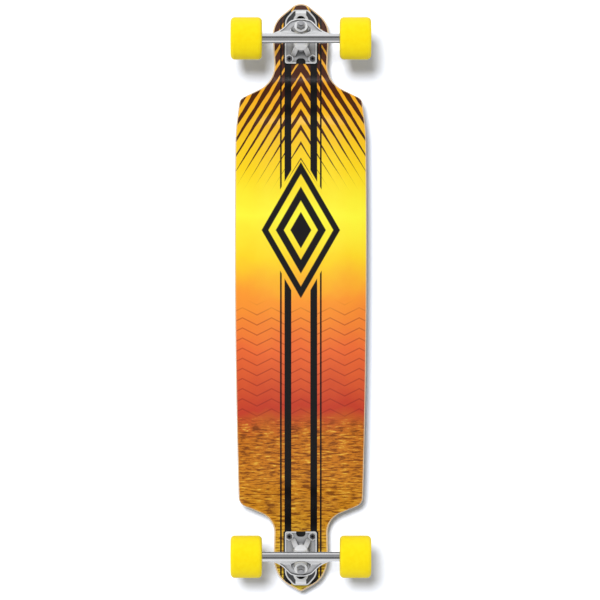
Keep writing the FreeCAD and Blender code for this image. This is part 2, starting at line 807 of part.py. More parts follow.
def make_hanger():
    """Cast hanger: axle tube, swept wings, bushing ring, neck and pivot nose."""
    half = s.hanger_width / 2
    bore = s.axle_radius + s.running_fit
    tube = moved(lathe("axle_tube", [
        (bore, -half),
        (s.tube_end_radius, -half),
        (s.tube_radius, -half + s.tube_end_taper),
        (s.tube_radius, half - s.tube_end_taper),
        (s.tube_end_radius, half),
        (bore, half),
    ]), bench_axle[0])
    edge = s.wing_thickness / 2
    tip = tilted(s.wing_tip_reach, edge)[0]
    outline = [
        (0, s.wing_end_half),
        (s.wing_end_place, s.wing_end_half),
        (s.wing_waist_place, s.wing_waist_half),
        (s.wing_flank_place, s.wing_flank_half),
        (tip, s.wing_tip_half),
    ]
    mirrored = [(x, -y) for x, y in reversed(outline)]
    wings_plan = slab("wings_plan", "XY_Plane", outline + mirrored, casting_reach)
    for corner, radius in ((outline[2], s.wing_waist_round), (outline[3], s.wing_flank_round),
                           (outline[4], s.wing_tip_round)):
        round_corners(wings_plan, [(*corner, 0), (corner[0], -corner[1], 0)], radius)
    wings_side = slab("wings_side", "XZ_Plane", [
        (0, s.axle_height),
        (s.tube_radius - s.wing_rim_width, s.axle_height),
        (s.wing_knee_place, s.wing_knee_height),
        tilted(s.wing_tip_reach, edge),
        tilted(s.wing_tip_reach, -edge),
        (s.wing_knee_place - s.wing_thickness, s.wing_knee_height - s.wing_thickness),
        tilted(-s.pivot_root, s.boss_radius + s.neck_relief),
        (0, s.axle_height - s.tube_radius),
    ], s.hanger_width, middle=True)
    arch = [
        (s.wing_end_half, s.axle_height),
        (s.wing_end_half, s.wing_end_height),
        (s.wing_arch_half, s.wing_arch_height),
        (s.wing_arch_half, 0),
    ]
    wings_front = slab("wings_front", "YZ_Plane", arch + [(-y, z) for y, z in reversed(arch)], s.axle_height)
    wings_blank = common("wings_blank", common("wings_crossed", wings_plan, wings_side), wings_front)
    knee = (s.wing_knee_place, s.wing_knee_height)
    brow = tilted(s.wing_tip_reach, edge)
    wings_hollow = slab("wings_hollow", "XZ_Plane", [
        (knee[0], knee[1] - s.wing_rim_height),
        (brow[0], brow[1] - s.wing_rim_height),
        (brow[0], casting_reach),
        (knee[0], casting_reach),
    ], s.hanger_width, middle=True)
    hollow_plan = inset_prism("wings_inset", wings_plan, s.wing_rim_width)
    wings = cut("wings", wings_blank, common("wings_pocket", wings_hollow, hollow_plan))
    fall = (knee[1] - brow[1]) / (brow[0] - knee[0])
    rib_top = knee[1] - s.wing_rib_drop + fall * (knee[0] - s.wing_rib_place)
    rib_end = rib_top - fall * cosine(s.wing_rib_angle) * s.wing_rib_length
    rib = slab("wing_rib", "XZ_Plane", [
        (0, rib_top - s.wing_thickness),
        (s.wing_rib_length, rib_end - s.wing_thickness),
        (s.wing_rib_length, rib_end),
        (0, rib_top),
    ], s.wing_rib_thickness, middle=True)
    ribs = []
    for side in (-1, 1):
        lean = turned(Z_AXIS, -side * SIZES["wing_rib_angle"])
        ribs.append(copy(rib, "leaning_rib", at(s.wing_rib_place, s.wing_rib_half * side, 0, lean)))
    ring = cylinder("bushing_ring", s.ring_radius, ring_rim * 2, tilt.multiply(at(z=-ring_rim)))
    neck = slab("hanger_neck", "XZ_Plane", [
        tilted(-s.ring_bore_radius, -ring_floor),
        tilted(-s.pivot_root, -ring_floor),
        tilted(-s.pivot_root, s.boss_radius + s.neck_relief),
        (-s.tube_radius + s.neck_relief, s.axle_height),
        (s.tube_radius - s.neck_relief, s.axle_height),
        (s.wing_knee_place - s.neck_relief, s.wing_knee_height),
        tilted(-s.ring_bore_radius, ring_rim),
    ], s.neck_half * 2, middle=True)
    length = s.pivot_tip - s.ring_bore_radius
    nose = moved(lathe("pivot_nose", [
        (0, 0),
        (s.pivot_radius, 0),
        (s.pivot_radius, length - s.pivot_radius, s.pivot_radius),
        (0, length),
    ]), tilt.multiply(at(-s.ring_bore_radius, rotation=inward)))
    casting = tube
    for piece in (wings, ring, neck, nose, *ribs):
        casting = fuse("hanger_casting", casting, piece)
    through = cylinder("ring_bore", s.ring_bore_radius, casting_reach,
                       tilt.multiply(at(z=-casting_reach / 2)))
    seat = s.bushing_radius + s.seat_clearance
    upper_seat = cylinder("roadside_seat", seat, casting_reach, tilt.multiply(at(z=ring_floor)))
    lower_seat = cylinder("boardside_seat", seat, casting_reach,
                          tilt.multiply(at(z=-ring_floor - casting_reach)))
    pocket = moved(lathe("stack_pocket", [
        (0, ring_rim),
        (s.pocket_radius, ring_rim),
        (s.pocket_mouth, ring_rim + s.pocket_flare),
        (s.pocket_mouth, casting_reach),
        (0, casting_reach),
    ]), tilt)
    axle_hole = cylinder("axle_hole", bore, s.hanger_width * 2,
                         at(0, -s.hanger_width, s.axle_height, sides["left"]))
    return cut("hanger", casting, through, upper_seat, lower_seat, pocket, axle_hole)


def make_kingpin():
    """Kingpin bolt: hexagon head held in the baseplate, plain shank."""
    head = moved(hexagon("kingpin_head", s.kingpin_head_flats, s.kingpin_head_height),
                 at(z=-head_top - s.kingpin_head_height))
    shank = cylinder("kingpin_shank", s.kingpin_radius, head_top + nut_end + s.kingpin_stick_out,
                     at(z=-head_top))
    return fuse("kingpin", head, shank)


def make_nut(name, flats, height, bore, crown):
    """Hexagon nut with chamfered corners and a round crown on top, like a lock nut's collar."""
    corner = flats / cosine(of(HALF_TURN / HEXAGON)) / 2
    blank = lathe(name + "_blank", [
        (bore, 0),
        (flats / 2, 0),
        (corner, (corner - flats / 2) / 2),
        (corner, height - crown - (corner - flats / 2) / 2),
        (flats / 2, height - crown),
        (flats / 2 - crown / 2, height),
        (bore, height),
    ])
    return common(name, blank, hexagon(name + "_hexagon", flats, height))


def make_bushing(name, top_radius):
    """Urethane bushing standing on its seat, with softened edges."""
    soft = s.bushing_edge
    bore = s.kingpin_radius + s.assembly_fit
    return lathe(name, [
        (bore, 0),
        (s.bushing_radius - soft, 0),
        (s.bushing_radius, soft),
        (top_radius, s.bushing_height - soft),
        (top_radius - soft, s.bushing_height),
        (bore, s.bushing_height),
    ])


def make_cup_washer(name, bushing_end):
    """Dished steel washer whose rim stands round the end of a bushing."""
    bore = s.kingpin_radius + s.assembly_fit
    inside = bushing_end + s.assembly_fit
    outside = inside + s.cup_washer_wall
    return lathe(name, [
        (bore, 0),
        (outside, 0),
        (outside, s.cup_washer_thickness + s.cup_washer_rim),
        (inside, s.cup_washer_thickness + s.cup_washer_rim),
        (inside, s.cup_washer_thickness),
        (bore, s.cup_washer_thickness),
    ])


def make_deck_bolt():
    """Countersunk bolt through deck, riser and baseplate."""
    end = s.bolt_pad_height + s.lock_nut_height + s.bolt_stick_out
    return lathe("deck_bolt", [
        (0, bolt_top),
        (s.bolt_head_radius, bolt_top),
        (s.bolt_radius, bolt_top + s.bolt_head_radius - s.bolt_radius),
        (s.bolt_radius, end),
        (0, end),
    ])


def ring(name, bore, radius, low, high):
    """A plain turned ring between two stations."""
    return lathe(name, [(bore, low), (radius, low), (radius, high), (bore, high)])


# Stations out along the axle, from the middle of the board.
hanger_face = s.hanger_width / 2
inner_bearing = hanger_face + s.speed_washer_thickness
inner_bearing_end = inner_bearing + s.bearing_width
outer_bearing = inner_bearing_end + s.spacer_length
outer_bearing_end = outer_bearing + s.bearing_width
nut_seat = outer_bearing_end + s.speed_washer_thickness
axle_end = nut_seat + s.axle_nut_height + s.axle_stick_out
bearing_stations = (inner_bearing, outer_bearing)
axle_bore = s.axle_radius + s.running_fit
outer_race_bore = s.ball_circle * 2 - s.inner_race_radius
groove = s.ball_radius + s.running_fit


def make_race(name, bore, radius, on_outside):
    """Bearing race with a ball groove, standing at height 0."""
    middle = s.bearing_width / 2
    face = radius if on_outside else bore
    depth = s.ball_circle - face if on_outside else face - s.ball_circle
    reach = root(groove * groove - depth * depth)
    if on_outside:
        corners = [(bore, 0), (radius, 0), (radius, middle - reach, -groove), (radius, middle + reach),
                   (radius, s.bearing_width), (bore, s.bearing_width)]
    else:
        corners = [(bore, 0), (radius, 0), (radius, s.bearing_width), (bore, s.bearing_width),
                   (bore, middle + reach, -groove), (bore, middle - reach)]
    return lathe(name, corners)


def make_ball_set():
    """Seven balls held in a cage ring."""
    middle = s.bearing_width / 2
    half = s.cage_thickness / 2
    cage = ring("ball_cage", s.ball_circle - half, s.ball_circle + half, middle - s.cage_width / 2,
                middle + s.cage_width / 2)
    ball = bind(doc.addObject("Part::Sphere", "bearing_ball"), Radius=s.ball_radius)
    count = SIZES["ball_count"]
    places = [turned(Z_AXIS, FULL_TURN * index / count) for index in range(count)]
    seats = [FreeCAD.Placement(turn.multVec(X_AXIS * s.ball_circle.value), turn) for turn in places]
    lifted = [at(z=middle).multiply(seat) for seat in seats]
    return fuse("ball_set", cage, group("bearing_balls", ball, lifted))


def make_core():
    """Moulded wheel core: bearing seats in a hub, a web with round windows, an outer ring."""
    middle = (inner_bearing + outer_bearing_end) / 2
    low, high = middle - s.core_length / 2, middle + s.core_length / 2
    seat = s.bearing_radius + s.running_fit
    hub = seat + s.hub_wall
    rim = s.core_radius - s.core_wall
    web = s.core_web / 2
    blank = lathe("core_blank", [
        (seat, low),
        (hub, low),
        (hub, middle - web),
        (rim, middle - web),
        (rim, low),
        (s.core_radius, low),
        (s.core_radius, high),
        (rim, high),
        (rim, middle + web),
        (hub, middle + web),
        (hub, high),
        (seat, high),
        (seat, outer_bearing),
        (outer_race_bore, outer_bearing),
        (outer_race_bore, inner_bearing_end),
        (seat, inner_bearing_end),
    ])
    window = cylinder("core_window", (rim - hub) / 2 - s.assembly_fit, s.core_length)
    count = SIZES["core_window_count"]
    windows = []
    for index in range(count):
        turn = turned(Z_AXIS, FULL_TURN * index / count)
        windows.append(FreeCAD.Placement(turn.multVec(X_AXIS * ((rim + hub) / 2).value), turn))
    lifted = [at(z=low).multiply(window_place) for window_place in windows]
    return cut("wheel_core", blank, group("core_windows", window, lifted))


def make_tyre():
    """Urethane tyre cast round the core, with rounded lips and dished sides."""
    middle = (inner_bearing + outer_bearing_end) / 2
    bond = s.core_radius + s.running_fit
    radius = s.wheel_diameter / 2
    lip = s.wheel_lip_round
    inner, outer = s.wheel_inner_face, s.wheel_inner_face + s.wheel_width
    return lathe("tyre", [
        (bond, middle - s.core_length / 2),
        (s.wheel_inner_mouth, inner),
        (radius - lip, inner, lip),
        (radius, inner + lip),
        (radius, outer - lip, lip),
        (radius - lip, outer),
        (s.wheel_outer_mouth, outer),
        (bond, middle + s.core_length / 2),
    ])


# Deck and grip tape.
spine = drop_line()
plan = deck_plan()
bolt_stations = [bench.multiply(centre) for bench in bench_places.values() for centre in bolt_centres(0)]
deck_holes = group("deck_holes", bolt_hole(), bolt_stations)
punch = cylinder("grip_punch", s.grip_hole_radius, s.deck_thickness * 2, at(z=bolt_top - s.deck_thickness))
grip_holes = group("grip_holes", punch, bolt_stations)
node("deck", make_deck(spine, plan, deck_holes), at())
node("grip_tape", make_grip_tape(spine, plan, grip_holes), at())

# One master of every truck and wheel piece.
riser_pad = make_riser_pad()
baseplate = make_baseplate()
pivot_cup = make_pivot_cup()
kingpin = make_kingpin()
kingpin_bore = s.kingpin_radius + s.assembly_fit
kingpin_nut = make_nut("kingpin_nut", s.kingpin_head_flats, s.kingpin_nut_height, kingpin_bore,
                       s.kingpin_nut_crown)
boardside_bushing = make_bushing("boardside_bushing", s.bushing_radius)
roadside_bushing = make_bushing("roadside_bushing", s.bushing_top_radius)
boardside_washer = make_cup_washer("boardside_washer", s.bushing_radius)
roadside_washer = make_cup_washer("roadside_washer", s.bushing_top_radius)
deck_bolt = make_deck_bolt()
lock_nut = make_nut("lock_nut", s.lock_nut_flats, s.lock_nut_height, s.bolt_radius + s.assembly_fit,
                    s.lock_nut_crown)
hanger = make_hanger()
axle = cylinder("axle", s.axle_radius, axle_end * 2)
speed_washer = ring("speed_washer", axle_bore, s.speed_washer_radius, of(0), s.speed_washer_thickness)
axle_nut = make_nut("axle_nut", s.axle_nut_flats, s.axle_nut_height, axle_bore, s.axle_nut_crown)
bearing_spacer = ring("bearing_spacer", axle_bore, s.spacer_radius, inner_bearing_end, outer_bearing)
inner_race = make_race("inner_race", axle_bore, s.inner_race_radius, True)
outer_race = make_race("outer_race", outer_race_bore, s.bearing_radius, False)
shield = ring("bearing_shield", s.inner_race_radius + s.shield_gap, outer_race_bore - s.running_fit, of(0),
              s.shield_thickness)
ball_set = make_ball_set()
wheel_core = make_core()
tyre = make_tyre()

turned_over = turned(X_AXIS, HALF_TURN)
for end, bench in bench_places.items():
    tilted_bench = bench.multiply(tilt)
    axle_sides = [bench.multiply(side) for side in bench_axle]
    node(end + "_riser_pad", riser_pad, bench)
    node(end + "_baseplate", baseplate, bench)
    node(end + "_pivot_cup", pivot_cup, tilted_bench.multiply(at(-s.cup_mouth, rotation=inward)))
    node(end + "_kingpin", kingpin, tilted_bench)
    node(end + "_kingpin_nut", kingpin_nut, tilted_bench.multiply(at(z=stack_end)))
    node(end + "_boardside_bushing", boardside_bushing, tilted_bench.multiply(at(z=-washer_seat)))
    node(end + "_roadside_bushing", roadside_bushing, tilted_bench.multiply(at(z=ring_floor)))
    washers = [(boardside_washer, tilted_bench.multiply(at(z=-stack_end))),
               (roadside_washer, tilted_bench.multiply(at(z=stack_end, rotation=turned_over)))]
    node_group(end + "_bushing_washers", washers)
    node(end + "_deck_bolts", deck_bolt, *[bench.multiply(centre) for centre in bolt_centres(0)])
    nut_seats = bolt_centres(s.bolt_pad_height)
    node(end + "_deck_nuts", lock_nut, *[bench.multiply(centre) for centre in nut_seats])
    node(end + "_hanger", hanger, bench)
    node(end + "_axle", axle, axle_sides[0].multiply(at(z=-axle_end)))
    washer_stations = (hanger_face, outer_bearing_end)
    node(end + "_speed_washers", speed_washer,
         *[side.multiply(at(z=station)) for side in axle_sides for station in washer_stations])
    node(end + "_axle_nuts", axle_nut, *[side.multiply(at(z=nut_seat)) for side in axle_sides])
    node(end + "_bearing_spacers", bearing_spacer, *axle_sides)
    node(end + "_inner_races", inner_race,
         *[side.multiply(at(z=station)) for side in axle_sides for station in bearing_stations])
    for side, turn in sides.items():
        wheel = end + "_" + side
        place = at(axle_place if end == "front" else -axle_place, 0, s.wheel_diameter / 2, turn)
        shield_stations = []
        for station in bearing_stations:
            shield_stations.append(station + s.shield_gap)
            shield_stations.append(station + s.bearing_width - s.shield_gap - s.shield_thickness)
        node(wheel + "_tyre", tyre, place)
        node(wheel + "_wheel_core", wheel_core, place)
        bearing_places = [place.multiply(at(z=station)) for station in bearing_stations]
        shield_places = [place.multiply(at(z=station)) for station in shield_stations]
        node(wheel + "_outer_races", outer_race, *bearing_places)
        node(wheel + "_bearing_shields", shield, *shield_places)
        node(wheel + "_bearing_balls", ball_set, *bearing_places)
doc.recompute()

# Nothing is written unless every object and every sub-part is sound.
for thing in doc.Objects:
    if "Invalid" in thing.State or "Error" in thing.State:
        raise RuntimeError(thing.Label + " failed")
os.makedirs("parts", exist_ok=True)
shapes = {label: Part.getShape(thing) for label, thing in nodes.items()}
for label, shape in shapes.items():
    if shape.isNull() or not shape.isValid():
        raise RuntimeError(label + " has no sound shape")
for label, shape in shapes.items():
    shape.exportStep("parts/" + label + ".step")
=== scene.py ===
import json
import math
import bmesh
import bpy
from mathutils import Matrix, Vector


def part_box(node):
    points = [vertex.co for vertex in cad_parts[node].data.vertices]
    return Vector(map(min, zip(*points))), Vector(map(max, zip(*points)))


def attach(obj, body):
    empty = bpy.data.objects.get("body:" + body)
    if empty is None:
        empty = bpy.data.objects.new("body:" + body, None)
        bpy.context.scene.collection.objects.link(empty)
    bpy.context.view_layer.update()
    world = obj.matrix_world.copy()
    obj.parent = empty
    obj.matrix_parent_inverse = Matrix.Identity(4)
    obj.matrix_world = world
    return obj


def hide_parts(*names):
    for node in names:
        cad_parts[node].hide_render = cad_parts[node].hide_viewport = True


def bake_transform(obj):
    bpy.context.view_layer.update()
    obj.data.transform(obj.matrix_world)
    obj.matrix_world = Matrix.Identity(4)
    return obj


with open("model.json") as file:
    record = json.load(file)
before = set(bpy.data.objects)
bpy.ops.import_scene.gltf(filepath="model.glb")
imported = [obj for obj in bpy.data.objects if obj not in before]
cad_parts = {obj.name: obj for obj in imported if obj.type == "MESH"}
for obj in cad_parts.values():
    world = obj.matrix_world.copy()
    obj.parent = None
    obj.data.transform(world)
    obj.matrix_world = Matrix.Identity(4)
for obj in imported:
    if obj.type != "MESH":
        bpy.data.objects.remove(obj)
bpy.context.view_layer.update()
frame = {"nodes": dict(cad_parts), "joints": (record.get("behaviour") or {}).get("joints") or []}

# Deck: nine maple plies pressed into a dropped tub and cut to outline with rounded edges. The underside
# is printed and lacquered, the top ply is stained, and the bare plies show as thin layers round the edge.
nodes = frame["nodes"]
MM = 0.001
deck_low, deck_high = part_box("deck")
half_length = deck_high.x
plies = 9
ply_stack = 12 * MM
drop = 22 * MM
press_radius = 100 * MM
nose_bend = half_length - 170.9 * MM
tail_bend = -half_length + 153.9 * MM
rail_start = 65 * MM
rail_radius = 200 * MM


def new_finish(name, **sockets):
    """A material, its node tree and its Principled BSDF, set by the names of the sockets."""
    finish = bpy.data.materials.new(name)
    finish.use_nodes = True
    shader = finish.node_tree.nodes["Principled BSDF"]
    for socket, value in sockets.items():
        shader.inputs[socket.replace("_", " ")].default_value = value
    return finish, finish.node_tree, shader


def put(tree, kind, inputs=None, **settings):
    """Adds a shader node. An input given as a socket is linked, and any other is set."""
    added = tree.nodes.new("ShaderNode" + kind)
    for key, value in settings.items():
        setattr(added, key, value)
    for key, value in (inputs or {}).items():
        if isinstance(value, bpy.types.NodeSocket):
            tree.links.new(value, added.inputs[key])
        else:
            added.inputs[key].default_value = value
    return added


def axes(tree, vector):
    """The three parts of a place or a direction."""
    parts = put(tree, "SeparateXYZ", {"Vector": vector}).outputs
    return [parts[axis] for axis in "XYZ"]


def sums(tree, operation, *values):
    """The result of one step of arithmetic."""
    return put(tree, "Math", dict(enumerate(values)), operation=operation).outputs[0]


deck_finish, tree, shader = new_finish(
    "printed_maple", Specular_IOR_Level=0.05, Coat_Weight=0.5, Coat_Roughness=0.2)
place = put(tree, "TexCoord").outputs["Object"]
along, across, height = axes(tree, place)
aside = sums(tree, "ABSOLUTE", across)
facing = axes(tree, put(tree, "NewGeometry").outputs["Normal"])[2]


def shade(red, green, blue):
    """An eight-bit display colour as the linear colour that a shader takes."""
    linear = []
    for level in (red, green, blue):
        part = level / 255
        linear.append(((part + 0.055) / 1.055) ** 2.4 if part > 0.04045 else part / 12.92)
    return (*linear, 1.0)


def clouds(tree, place, scale, detail, crumble=0.5):
    """Soft random patches, from 0 to 1 and mostly near a half."""
    noise = {"Vector": place, "Scale": scale, "Detail": detail, "Roughness": crumble}
    return put(tree, "TexNoise", noise).outputs["Fac"]


def remap(tree, value, start, end, low, high):
    """A straight run from low, where the value is at start, to high, where it is at end."""
    ends = {"Value": value, "From Min": start, "From Max": end, "To Min": low, "To Max": high}
    return put(tree, "MapRange", ends).outputs[0]


# Ground of the print: gold at the nose, then lemon, orange and red, and gold again at the tail.
ground_fades = [
    (0.00, shade(238, 176, 48)), (0.16, shade(240, 168, 36)), (0.28, shade(250, 214, 30)),
    (0.36, shade(253, 246, 60)), (0.43, shade(252, 214, 40)), (0.50, shade(249, 152, 50)),
    (0.59, shade(234, 108, 54)), (0.69, shade(192, 62, 42)), (0.73, shade(196, 112, 30)),
    (0.88, shade(206, 138, 34)), (1.00, shade(214, 190, 52))]
blot_scale, blot_spread = 14.0, 0.06
blots = sums(tree, "SUBTRACT", clouds(tree, place, blot_scale, detail=3.0), 0.5)
wander = sums(tree, "MULTIPLY", blots, blot_spread)
station = remap(tree, along, half_length, -half_length, 0.0, 1.0)
ground = put(tree, "ValToRGB", {"Fac": sums(tree, "ADD", station, wander)})
stops = ground.color_ramp.elements
stops.remove(stops[0])
stops[0].position, stops[0].color = ground_fades[-1]
for position, colour in ground_fades[:-1]:
    stops.new(position).color = colour
print_colour = ground.outputs["Color"]


def fade(tree, value, start, end):
    """0 where the value is at start, 1 where it is at end."""
    ends = {"Value": value, "From Min": start, "From Max": end}
    return put(tree, "MapRange", ends, interpolation_type="SMOOTHSTEP").outputs[0]


def both(tree, first, second):
    """Where two masks meet."""
    return sums(tree, "MULTIPLY", first, second)


def over(tree, mask, under, ink, cover=1.0):
    """Lays an ink over a colour where the mask is 1, as thickly as its cover."""
    laid = both(tree, mask, cover) if cover < 1 else mask
    return put(tree, "MixRGB", {"Fac": laid, "Color1": under, "Color2": ink}).outputs[0]


# Herringbone strokes in maroon over the nose, thinning out towards the middle.
maroon = shade(60, 18, 16)
stroke_pitch = 11 * MM
stroke_along, stroke_aside, stroke_waver = 0.8, 1.3, 0.06
strokes_end, strokes_full = 160 * MM, 440 * MM
tear_scale, tear_least = 30.0, 0.45
stroke_share = 0.85
stroke_edge = 1.2 * MM
slant = sums(tree, "ADD", sums(tree, "MULTIPLY", along, stroke_along),
             sums(tree, "MULTIPLY", aside, stroke_aside))
wavered = sums(tree, "ADD", slant, sums(tree, "MULTIPLY", wander, stroke_waver))
from_stroke = sums(tree, "PINGPONG", wavered, stroke_pitch)
torn = sums(tree, "ADD", clouds(tree, place, tear_scale, detail=5.0), tear_least)
thinned = both(tree, fade(tree, along, strokes_end, strokes_full), torn)
stroke_width = sums(tree, "MULTIPLY", thinned, stroke_pitch * stroke_share)
strokes = fade(tree, sums(tree, "SUBTRACT", stroke_width, from_stroke), 0.0, stroke_edge)
print_colour = over(tree, strokes, print_colour, maroon, cover=0.98)


def band(tree, value, low, high, soft):
    """1 between two values, with soft edges."""
    rising = fade(tree, value, low - soft, low + soft)
    falling = fade(tree, value, high + soft, high - soft)
    return both(tree, rising, falling)


# Zigzag pinstripes across the orange and red.
pin_red = shade(120, 30, 30)
zigzag_pitch, zigzag_width, zigzag_lean = 9 * MM, 26 * MM, 0.5
pin_edge, pin_core = 1.6 * MM, 0.7 * MM
pins_end, pins_start, pins_soft = -215 * MM, -20 * MM, 20 * MM
zigzag = sums(tree, "MULTIPLY", sums(tree, "PINGPONG", aside, zigzag_width), zigzag_lean)
from_pin = sums(tree, "PINGPONG", sums(tree, "ADD", along, zigzag), zigzag_pitch)
pins = both(tree, fade(tree, from_pin, pin_edge, pin_core),
            band(tree, along, pins_end, pins_start, pins_soft))
print_colour = over(tree, pins, print_colour, pin_red, cover=0.45)

# Brushed gold leaf over the tail third, dark in its hollows and bright on its ridges.
dark_leaf, bright_leaf = shade(98, 44, 14), shade(250, 206, 78)
leaf_run, leaf_reach = 3.2 * MM, 22 * MM
leaf_start, leaf_full = -205 * MM, -235 * MM
leaf_place = put(tree, "CombineXYZ", {
    "X": sums(tree, "DIVIDE", along, leaf_run), "Y": sums(tree, "DIVIDE", across, leaf_reach)}).outputs[0]
leaf = clouds(tree, leaf_place, 1.0, detail=4.0, crumble=0.65)
on_leaf = fade(tree, along, leaf_start, leaf_full)
for faint, full, gold in ((0.52, 0.40, dark_leaf), (0.55, 0.70, bright_leaf)):
    brushed = both(tree, on_leaf, fade(tree, leaf, faint, full))
    print_colour = over(tree, brushed, print_colour, gold, cover=0.8)

# Black: twin stripes along the board, each with a pinstripe, parted by nested rhombs in the middle.
print_black = shade(14, 12, 13)
rhomb_place, rhomb_length, rhomb_width = 120 * MM, 125 * MM, 72 * MM
outer_ring, inner_ring, ring_edge = (0.80, 0.97), (0.42, 0.62), 0.012
heart_edge, heart_full = 0.27, 0.25
stripe, pinstripe, stripe_edge = (17 * MM, 29 * MM), (34 * MM, 37 * MM), 0.25 * MM
stripe_stop, stripe_full = 1.08, 1.10
from_rhomb = sums(tree, "ABSOLUTE", sums(tree, "SUBTRACT", along, rhomb_place))
rhomb = sums(tree, "ADD", sums(tree, "DIVIDE", from_rhomb, rhomb_length),
             sums(tree, "DIVIDE", aside, rhomb_width))
rhomb_rings = sums(tree, "MAXIMUM", band(tree, rhomb, *outer_ring, ring_edge),
                   band(tree, rhomb, *inner_ring, ring_edge))
rhomb_heart = fade(tree, rhomb, heart_edge, heart_full)
stripes = sums(tree, "MAXIMUM", band(tree, aside, *stripe, stripe_edge),
               band(tree, aside, *pinstripe, stripe_edge))
parted_stripes = both(tree, stripes, fade(tree, rhomb, stripe_stop, stripe_full))
black = sums(tree, "MAXIMUM", parted_stripes, sums(tree, "MAXIMUM", rhomb_rings, rhomb_heart))
print_colour = over(tree, black, print_colour, print_black)


def arc_rise(radius, run):
    """Height of an arc at a run from its lowest point."""
    squares = [sums(tree, "MULTIPLY", size, size) for size in (radius, run)]
    return sums(tree, "SUBTRACT", radius, sums(tree, "SQRT", sums(tree, "SUBTRACT", *squares)))


# Bare plies: the height above the pressed underside gives the layer. The rails rise square to the
# bends, so the bends' arcs are tighter or wider there.
off_flat = sums(tree, "MAXIMUM", sums(tree, "SUBTRACT", aside, rail_start), 0.0)
rail_rise = arc_rise(rail_radius, off_flat)
inner_radius = sums(tree, "SUBTRACT", press_radius, rail_rise)
outer_radius = sums(tree, "ADD", press_radius, rail_rise)
bend_run = math.sqrt(press_radius * drop - drop * drop / 4)


def bend_rise(bend, towards):
    """Height of the pressed curve at one end of the deck, from its two arcs."""
    rise = []
    for radius, side in ((inner_radius, towards), (outer_radius, -towards)):
        run = sums(tree, "MULTIPLY", sums(tree, "SUBTRACT", along, bend - side * bend_run), side)
        limit = sums(tree, "MULTIPLY", radius, bend_run / press_radius)
        rise.append(arc_rise(radius, sums(tree, "MINIMUM", sums(tree, "MAXIMUM", run, 0.0), limit)))
    upper_half = sums(tree, "MULTIPLY", outer_radius, drop / 2 / press_radius)
    return sums(tree, "ADD", rise[0], sums(tree, "SUBTRACT", upper_half, rise[1]))


bends = sums(tree, "ADD", bend_rise(nose_bend, 1), bend_rise(tail_bend, -1))
underside = sums(tree, "ADD", sums(tree, "ADD", bends, rail_rise), deck_low.z)
above = sums(tree, "SUBTRACT", height, underside)
layer = sums(tree, "DIVIDE", above, ply_stack / plies)

# Every other ply runs across the board and looks darker, with a thin line of glue between them.
pale_fibre, warm_fibre, end_grain = shade(250, 234, 206), shade(238, 212, 174), shade(222, 188, 144)
glue_brown = shade(120, 80, 46)
pale_stain, dark_stain = shade(58, 53, 49), shade(38, 35, 33)
grain_length, fibre_width, figure_scale = 50 * MM, 1.2 * MM, 9.0
turn_start, turn_end = 0.42, 0.58
glue_half, glue_soft = 0.05, 0.03
fibre_place = put(tree, "CombineXYZ", {
    "X": sums(tree, "DIVIDE", along, grain_length),
    "Y": sums(tree, "DIVIDE", across, fibre_width),
    "Z": sums(tree, "DIVIDE", height, fibre_width)}).outputs[0]
grain = clouds(tree, fibre_place, 1.0, detail=4.0)
long_veneer = over(tree, grain, warm_fibre, pale_fibre)
turned = fade(tree, sums(tree, "PINGPONG", layer, 1.0), turn_start, turn_end)
from_glue = sums(tree, "PINGPONG", sums(tree, "ADD", layer, 0.5), 0.5)
glue_line = band(tree, from_glue, 0.0, glue_half, glue_soft)
ply_edge = over(tree, glue_line, over(tree, turned, long_veneer, end_grain), glue_brown, cover=0.4)
stained_ply = over(tree, grain, dark_stain, pale_stain)

# The print reaches just round the lower edge, and the stain stays on what faces up.
print_stop, print_full = 0.45 * MM, 0.30 * MM
stain_stop, stain_full = 0.80, 0.88
least_rough, most_rough = 0.36, 0.50
bare_wood = over(tree, fade(tree, facing, stain_stop, stain_full), ply_edge, stained_ply)
printed = fade(tree, above, print_stop, print_full)
tree.links.new(over(tree, printed, bare_wood, print_colour), shader.inputs["Base Color"])
figure = clouds(tree, place, figure_scale, detail=3.0)
tree.links.new(remap(tree, figure, 0.0, 1.0, least_rough, most_rough), shader.inputs["Roughness"])
crisp_edge = math.radians(28)


def dress(node, finish):
    """Gives a CAD node its finish, smooth between its crisp edges."""
    mesh = nodes[node].data
    mesh.materials.clear()
    mesh.materials.append(finish)
    for polygon in mesh.polygons:
        polygon.use_smooth = True
    mesh.set_sharp_from_angle(angle=crisp_edge)


dress("deck", deck_finish)
nodes["deck"].visible_glossy = False


# Grip tape: a black sheet of silicon carbide grit glued over the whole top and cut round just inside
# the edge. A few crystals are painted lighter as painted glints, and use has greyed it a little.
def new_effect(name, inputs, outputs):
    """A shader node group with named sockets, and its two end nodes."""
    group = bpy.data.node_groups.new(name, "ShaderNodeTree")
    for socket, default in inputs.items():
        kind = "NodeSocketVector" if isinstance(default, tuple) else "NodeSocketFloat"
        made = group.interface.new_socket(socket, in_out="INPUT", socket_type=kind)
        made.default_value = default
    for socket in outputs:
        group.interface.new_socket(socket, in_out="OUTPUT", socket_type="NodeSocketFloat")
    return group, group.nodes.new("NodeGroupInput"), group.nodes.new("NodeGroupOutput")


def counted_in(tree, place, size):
    """A place counted in steps of a size, so that a pattern comes out at that size."""
    steps = {0: place, "Scale": sums(tree, "DIVIDE", 1.0, size)}
    return put(tree, "VectorMath", steps, operation="SCALE").outputs[0]


